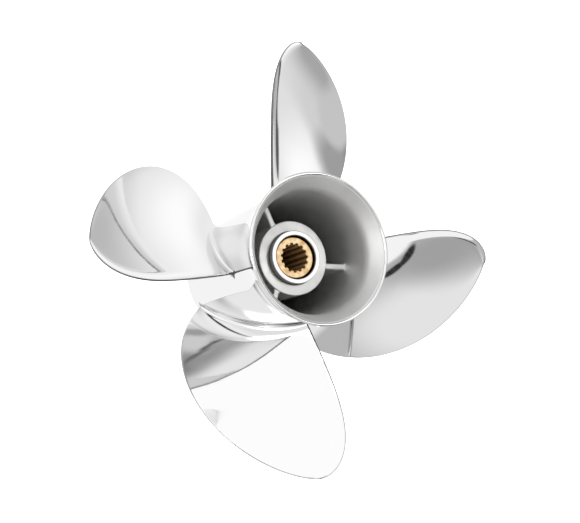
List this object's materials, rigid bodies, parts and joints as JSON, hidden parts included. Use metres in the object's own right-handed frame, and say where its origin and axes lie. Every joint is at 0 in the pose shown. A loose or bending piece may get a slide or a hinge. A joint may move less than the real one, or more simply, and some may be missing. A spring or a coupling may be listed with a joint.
{
  "type": "outboard motor propeller",
  "caption": "Polished stainless outboard propeller with raked swept blades on a hollow flared exhaust barrel, and a ribbed inner hub with a splined brass bush.",
  "frame": {"origin": "centre of the barrel's forward end face, on the shaft's axis, which is also the lowest level of the part", "axes": "+Z runs along the shaft's axis from the forward end to the flared aft rim, +X points to the tip of the first blade, and +Y follows by the right-hand rule"},
  "size_m": [0.3556, 0.3556, 0.1578],
  "materials": {
    "polished_stainless": "mirror polished",
    "machined_stainless": "blasted and machined",
    "sleeve_steel": "bright turned",
    "turned_brass": "turned and broached",
    "black_rubber": "matte"
  },
  "bodies": {
    "root": {"outer_barrel": "polished_stainless", "inner_hub": "machined_stainless", "rib_1": "machined_stainless", "rib_2": "machined_stainless", "rib_3": "machined_stainless", "blade_1": "polished_stainless", "blade_2": "polished_stainless", "blade_3": "polished_stainless", "blade_4": "polished_stainless", "bush_sleeve": "sleeve_steel", "rubber_bush": "black_rubber", "spline_sleeve": "turned_brass"}
  },
  "joints": []
}
